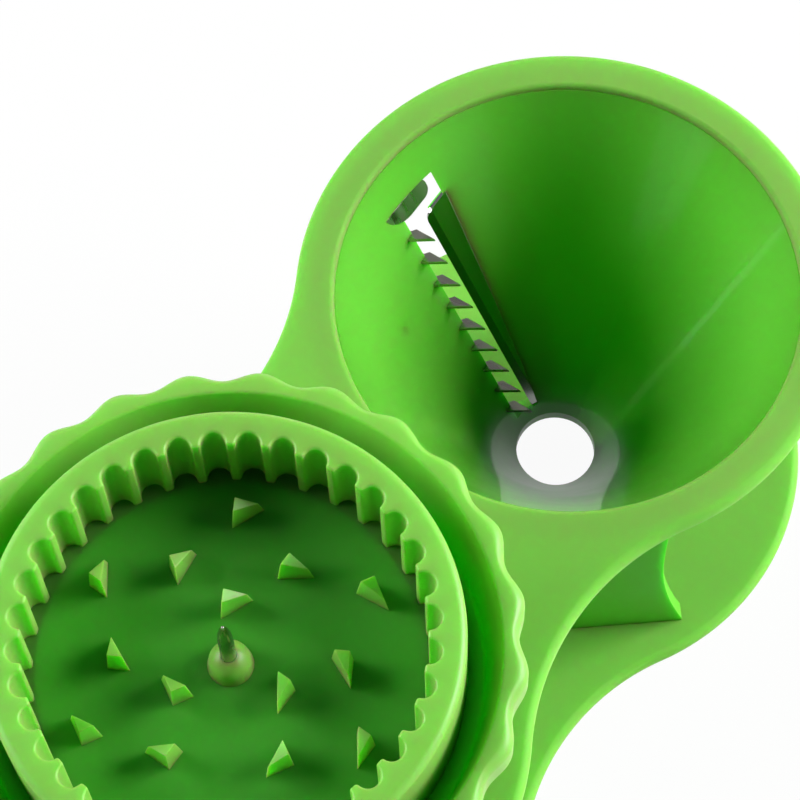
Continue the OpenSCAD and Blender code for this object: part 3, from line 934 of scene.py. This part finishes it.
@dataclass
class HolderGrip:
    """The grip: a hollow waist, a trench and a scalloped flange."""

    body: BodyFrame
    foot_r: float = 22.0
    bore_r: float = 19.6
    straight: float = 5.0
    neck_r: float = 33.9
    neck_z: float = 17.6
    skirt_r: float = 34.7
    flange_low: float = 24.4
    flange_top: float = 30.4
    crest_r: float = 37.1
    scallop: float = 1.2
    count: int = 24
    trench_r: float = 33.8
    trench_floor_r: float = 31.8
    trench_floor: float = 20.0
    seat_r: float = 29.55
    seat_z: float = 18.0
    floor_z: float = 16.0
    pin_r: float = 1.05
    segments: int = 720
    waist_steps: int = 12
    scallop_ease: float = 0.6
    cap_round: float = 0.4
    floor_round: float = 0.8
    bore_round: float = 0.4
    foot_round: float = 0.8
    neck_round: float = 0.5
    flange_round: float = 0.9
    crest_round: float = 2.0
    lip_round: float = 0.45
    trench_round: float = 0.6
    ledge_round: float = 0.1
    seat_round: float = 0.2

    def scalloped(self, angle: float, r: float, z: float) -> float:
        """Gives the distance from the axis at an angle and a height, with the scallops in it."""
        inner = self.skirt_r - self.scallop_ease
        if r <= inner or z < self.flange_low - SPECK_MM:
            return r
        share = min(1.0, (r - inner) / (self.crest_r - inner))
        ease = share * share * (3 - 2 * share)
        return r - ease * self.scallop * (1 - math.cos(self.count * angle)) / 2

    def profile(self) -> list[Flat]:
        """Draws the grip from the pin's bore outwards.

        Returns:
            Points of its closed profile.
        """
        waist = []
        for i in range(self.waist_steps):
            angle = math.pi / 2 * i / self.waist_steps
            waist.append(Corner(self.neck_r - (self.neck_r - self.foot_r) * math.cos(angle),
                                self.straight + (self.neck_z - self.straight) * math.sin(angle)))
        corners = [Corner(self.pin_r, self.floor_z), Corner(self.bore_r, self.floor_z, self.floor_round),
                   Corner(self.bore_r, 0, self.bore_round), Corner(self.foot_r, 0, self.foot_round), *waist,
                   Corner(self.neck_r, self.neck_z, self.neck_round),
                   Corner(self.skirt_r, self.flange_low, self.neck_round),
                   Corner(self.crest_r, self.flange_low, self.flange_round),
                   Corner(self.crest_r, self.flange_top, self.crest_round),
                   Corner(self.trench_r, self.flange_top, self.lip_round),
                   Corner(self.trench_floor_r, self.trench_floor, self.trench_round),
                   Corner(self.seat_r, self.trench_floor, self.ledge_round),
                   Corner(self.seat_r, self.seat_z, self.seat_round),
                   Corner(self.pin_r, self.seat_z, self.seat_round)]
        return rounded(corners, closed=True, step_deg=11)

    def build(self) -> None:
        """Builds the grip with the cap in its back and hands them over."""
        bm = bmesh.new()
        turn_profile(bm, self.profile(), self.segments, closed=True, warp=self.scalloped)
        piece = finish_piece("holder_grip_moulding", bm, self.body.holder(), HOLDER_GREEN)
        settle(piece, Rider.HOLDER, "holder_plastic", "holder_grip")
        soft_copy("holder_back", self.cap_round, Rider.HOLDER, "holder_plastic", HOLDER_GREEN)


@dataclass
class HolderCup:
    """The cup: a ring with upright grooves over a seat and a ledge."""

    body: BodyFrame
    ring_r: float = 29.5
    top: float = 35.0
    base: float = 18.0
    ledge: float = 20.0
    ledge_r: float = 20.1
    floor: float = 23.0
    inner_r: float = 24.65
    groove_reach: float = 26.5
    groove_r: float = 1.55
    count: int = 36
    soft_r: float = 0.4
    outer_round: float = 1.1
    inner_round: float = 0.4
    base_round: float = 0.3
    lead: float = 3.0
    soft_steps: int = 6
    groove_steps: int = 18

    def groove(self) -> list[Flat]:
        """Draws one groove across the X axis, with a soft edge on each side.

        Returns:
            Points from one land to the next.
        """
        middle = self.groove_reach - self.groove_r
        soft = self.soft_r
        over = self.inner_r + soft - middle
        across = math.sqrt((self.groove_r + soft) ** 2 - over ** 2)
        lean = math.atan2(across, over)
        points = []
        for i in range(self.soft_steps + 1):
            angle = math.pi - lean * i / self.soft_steps
            points.append((middle + over + soft * math.cos(angle), soft * math.sin(angle) - across))
        for i in range(1, self.groove_steps):
            angle = -lean + 2 * lean * i / self.groove_steps
            points.append((middle + self.groove_r * math.cos(angle), self.groove_r * math.sin(angle)))
        return points + [(x, -y) for x, y in reversed(points[:self.soft_steps + 1])]

    def outline(self) -> list[Flat]:
        """Draws the inside of the ring with its grooves.

        Returns:
            Points of the closed line.
        """
        points = []
        for i in range(self.count):
            turn = Matrix.Rotation(TURN * i / self.count, 2)
            points += [tuple(turn @ Vector(p)) for p in self.groove()]
        return points

    def build(self) -> None:
        """Builds the cup and hands it over."""
        line = [Vector(p) for p in self.outline()]
        count = len(line)
        away = []
        for i in range(count):
            along = line[(i + 1) % count] - line[i - 1]
            away.append(Vector((along.y, -along.x)).normalized())
        angles = [math.atan2(p.y, p.x) for p in line]
        bm = bmesh.new()

        def circle(r: float, z: float) -> Loop:
            """Adds a round loop in step with the grooves."""
            return add_loop(bm, [(r * math.cos(a), r * math.sin(a), z) for a in angles])

        def grooved(offset: float, z: float) -> Loop:
            """Adds a grooved loop at an offset into the ring."""
            return add_loop(bm, [(*(p + n * offset), z) for p, n in zip(line, away)])

        outside = rounded([Corner(self.ledge_r, self.base), Corner(self.ring_r, self.base, self.base_round),
                           Corner(self.ring_r, self.top, self.outer_round),
                           Corner(self.ring_r - self.lead, self.top)], step_deg=11)[:-1]
        loops = [circle(r, z) for r, z in outside]
        inside = rounded([Corner(self.lead, self.top), Corner(0, self.top, self.inner_round),
                          Corner(0, self.floor)], step_deg=18)[1:]
        loops += [grooved(offset, z) for offset, z in inside]
        seat = ((self.inner_r, self.floor), (self.inner_r, self.ledge), (self.ledge_r, self.ledge))
        loops += [circle(r, z) for r, z in seat]
        skin(bm, loops, closed=True)
        piece = finish_piece("holder_cup_moulding", bm, self.body.holder(), HOLDER_GREEN)
        settle(piece, Rider.HOLDER, "holder_plastic", "holder_cup")


@dataclass
class SpikePlate:
    """The floor of the cup with its boss and its three rings of spikes."""

    body: BodyFrame
    plate_r: float = 24.6
    skirt_r: float = 26.4
    base: float = 20.0
    floor: float = 23.03
    boss_r: float = 2.7
    boss_h: float = 4.0
    sink: float = 0.3
    pin_r: float = 1.05
    high: float = 4.6
    fall: float = 1.6
    wide: float = 3.0
    long: float = 4.0
    draft: float = 0.35
    root: float = 0.5
    spike_round: float = 0.12
    dome_steps: int = 12
    boss_steps: int = 96
    plate_steps: int = 192
    rings: tuple[tuple[int, float, float], ...] = ((3, 7.2, 30.0), (6, 13.8, 0.0), (6, 19.4, 30.0))

    def spike(self) -> BMesh:
        """Draws a three-sided spike whose top slopes to its point.

        Returns:
            The spike, on the plate's top.
        """
        bm = bmesh.new()
        x, y, d = self.wide / 2, self.long / 2, self.draft
        foot = add_loop(bm, [(-x, y, -self.root), (x, y, -self.root), (x, -y, -self.root)])
        head = add_loop(bm, [(-x + 2 * d, y - d, self.high), (x - d, y - d, self.high),
                             (x - d, -y + 2 * d, self.high - self.fall)])
        bm.faces.new(foot)
        bm.faces.new(head)
        bridge(bm, foot, head)
        bmesh.ops.triangulate(bm, faces=bm.faces[:])
        soften(bm, self.spike_round)
        for vert in bm.verts:
            vert.co.z += self.floor
        return bm

    def boss(self) -> list[Flat]:
        """Draws the profile of the domed boss round the pin.

        Returns:
            Distances from the axis and heights.
        """
        spring = self.floor + self.boss_h - self.boss_r
        last = math.acos(self.pin_r / self.boss_r)
        angles = [last * i / self.dome_steps for i in range(self.dome_steps + 1)]
        dome = [(self.boss_r * math.cos(a), spring + self.boss_r * math.sin(a)) for a in angles]
        under = self.floor - self.sink
        return [(self.pin_r, under), (self.boss_r + self.sink, under), *dome]

    def build(self) -> None:
        """Builds the plate, then the spikes and the boss, and hands them over."""
        bm = bmesh.new()
        under = self.floor - self.sink
        disc = [(self.pin_r, self.base), (self.plate_r, self.base), (self.plate_r, under),
                (self.skirt_r, under), (self.skirt_r, self.floor), (self.pin_r, self.floor)]
        turn_profile(bm, disc, self.plate_steps, closed=True)
        # The floor plate wears the darkened copy of the holder plastic: painted shade of the ring on the
        # cup floor.
        plate = finish_piece("spike_plate_moulding", bm, self.body.holder(), SHADED_FLOOR_GREEN)
        settle(plate, Rider.HOLDER, "spike_plastic", "spike_plate")
        tree = RingOfCopies("ring of spikes", HOLDER_GREEN)
        points = bmesh.new()
        for count, radius, start in self.rings:
            mesh = tree.make(self.spike(), {"Count": count, "Radius": radius, "Step": TURN / count,
                                            "Start": math.radians(start)})
            points.from_mesh(mesh)
        turn_profile(points, self.boss(), self.boss_steps, closed=True)
        spikes = finish_piece("spikes", points, self.body.holder(), HOLDER_GREEN)
        settle(spikes, Rider.HOLDER, "spike_plastic")


@dataclass
class HolderPin:
    """The pointed steel pin in the middle of the holder."""

    body: BodyFrame
    radius: float = 1.0
    base: float = 16.0
    shoulder: float = 32.0
    tip: float = 37.6
    bulge: float = 2.2
    taper: float = 0.8
    base_round: float = 0.2
    point_steps: int = 15
    segments: int = 48

    def build(self) -> None:
        """Builds the pin and hands it over."""
        bm = bmesh.new()
        point = []
        for i in range(self.point_steps):
            share = i / self.point_steps
            point.append(Corner(self.radius * (1 - share ** self.bulge) ** self.taper,
                                self.shoulder + (self.tip - self.shoulder) * share))
        profile = rounded([Corner(0, self.base), Corner(self.radius, self.base, self.base_round), *point,
                           Corner(0, self.tip)], step_deg=6)
        turn_profile(bm, profile, self.segments)
        piece = finish_piece("holder_pin_ground", bm, self.body.holder(), PIN_STEEL)
        settle(piece, Rider.PIN, "pin_steel", "holder_pin")


# The studio


@dataclass(frozen=True)
class Softbox:
    """A large soft lamp, placed round the object."""

    name: str
    bearing_deg: float
    height_deg: float
    distance: float
    size: float
    watts: float

    def build(self, aim: Vector) -> None:
        """Hangs the lamp so that it faces a point."""
        bearing = math.radians(self.bearing_deg)
        rise = math.radians(self.height_deg)
        level = math.cos(rise)
        way = Vector((math.cos(bearing) * level, math.sin(bearing) * level, math.sin(rise)))
        lamp = bpy.data.lights.new(self.name, "AREA")
        lamp.shape = "SQUARE"
        lamp.size = self.size
        lamp.energy = self.watts
        holder = put(self.name, lamp)
        holder.location = aim + way * self.distance
        holder.rotation_euler = way.to_track_quat("Z", "Y").to_euler()


@dataclass
class Studio:
    """Floor, light and camera."""

    eye: Triple = (-116.16, -89.53, 436.13)
    right: Triple = (0.5804, -0.8141, -0.0182)
    up: Triple = (0.7525, 0.5277, 0.3937)
    lens: float = 133.74
    sensor: float = 36.0
    near: float = 0.01
    ambient: float = 0.15
    ceiling: float = 0.03
    ceiling_from: float = 0.5
    floor_grey: float = 0.86
    floor_size: float = 3.0
    floor_white: float = 0.95
    floor_mirrored: float = 0.45
    aim: Triple = (0.0, 0.0, 0.06)
    lamps: tuple[Softbox, ...] = (
        Softbox("right softbox", -42, 26, 0.75, 0.42, 8.7),
        Softbox("left softbox", 113, 26, 0.75, 0.42, 5.9),
    )

    def build_floor(self) -> None:
        """Lays a pale floor that keeps a faint shadow."""
        bench = MaterialBench("studio_floor")
        grey = self.floor_grey
        matte = bench.add("ShaderNodeBsdfDiffuse", {"Color": (grey, grey, grey, 1)})
        bright = bench.add("ShaderNodeEmission", {"Color": (1, 1, 1, 1)})
        rays = bench.add("ShaderNodeLightPath").outputs
        mirrored = bench.math("MAXIMUM", rays["Is Glossy Ray"], rays["Is Transmission Ray"])
        dim = bench.math("MULTIPLY", mirrored, self.floor_mirrored)
        clear = bench.math("MULTIPLY", rays["Is Camera Ray"], self.floor_white)
        mix = bench.add("ShaderNodeMixShader")
        bench.wire(bench.math("MAXIMUM", clear, dim), mix.inputs[0])
        bench.wire(matte.outputs[0], mix.inputs[1])
        bench.wire(bright.outputs[0], mix.inputs[2])
        bm = bmesh.new()
        bmesh.ops.create_grid(bm, x_segments=1, y_segments=1, size=self.floor_size)
        mesh = to_mesh("floor", bm)
        mesh.materials.append(bench.surface(mix.outputs[0]))
        floor = put("floor", mesh)

    def build_world(self) -> None:
        """Lights the room under a dark ceiling, and white where the camera or a reflection looks."""
        world = bpy.data.worlds.new("studio room")
        world.use_nodes = True
        bench = NodeBench(world.node_tree)
        rays = bench.add("ShaderNodeLightPath").outputs
        seen = bench.math("MAXIMUM", rays["Is Camera Ray"], rays["Is Glossy Ray"])
        seen = bench.math("MAXIMUM", seen, rays["Is Transmission Ray"])
        glow = bench.add("ShaderNodeBackground", {"Color": (1, 1, 1, 1)})
        level = bench.ramp(seen, self.ambient, 1.0, 0.0, 1.0)
        way = bench.add("ShaderNodeSeparateXYZ")
        bench.wire(bench.add("ShaderNodeTexCoord").outputs["Generated"], way.inputs[0])
        rise = bench.ramp(way.outputs["Z"], 1.0, self.ceiling, 0.0, self.ceiling_from)
        dim = bench.math("MULTIPLY", level, rise)
        shown = bench.math("MAXIMUM", dim, rays["Is Camera Ray"])
        bench.wire(shown, glow.inputs["Strength"])
        bench.wire(glow.outputs[0], bench.add("ShaderNodeOutputWorld").inputs["Surface"])
        bpy.context.scene.world = world

    def build_camera(self) -> None:
        """Sets the camera at the photograph's viewing angle."""
        lens = bpy.data.cameras.new("camera")
        lens.lens = self.lens
        lens.sensor_width = self.sensor
        lens.sensor_fit = "HORIZONTAL"
        lens.clip_start = self.near
        camera = put("camera", lens)
        right = Vector(self.right).normalized()
        up = Vector(self.up)
        back = right.cross(up).normalized()
        up = back.cross(right)
        turn = Matrix((right, up, back)).transposed().to_4x4()
        camera.matrix_world = Matrix.Translation(Vector(self.eye) * MM) @ turn
        bpy.context.scene.camera = camera

    def build(self) -> None:
        """Builds the studio."""
        self.build_floor()
        self.build_world()
        self.build_camera()
        for lamp in self.lamps:
            lamp.build(Vector(self.aim))
        bpy.context.scene.view_settings.view_transform = "Standard"


def note_sizes() -> None:
    """Updates the view layer."""
    bpy.context.view_layer.update()


def main() -> None:
    """Builds every piece in order."""
    logging.basicConfig(level=logging.INFO, format="%(message)s")
    body = BodyFrame()
    for half, teeth, pitch in ((Half.UPPER, 9, 5.4), (Half.LOWER, 5, 10.8)):
        LobedPlate(body, half).build()
        CuttingCone(half).build()
        JulienneComb(body, half, teeth, pitch).build()
        ClampScrews(body, half).build()
    for maker in (HolderGrip, HolderCup, SpikePlate, HolderPin):
        maker(body).build()
    Studio().build()
    note_sizes()


if __name__ == "__main__":
    main()
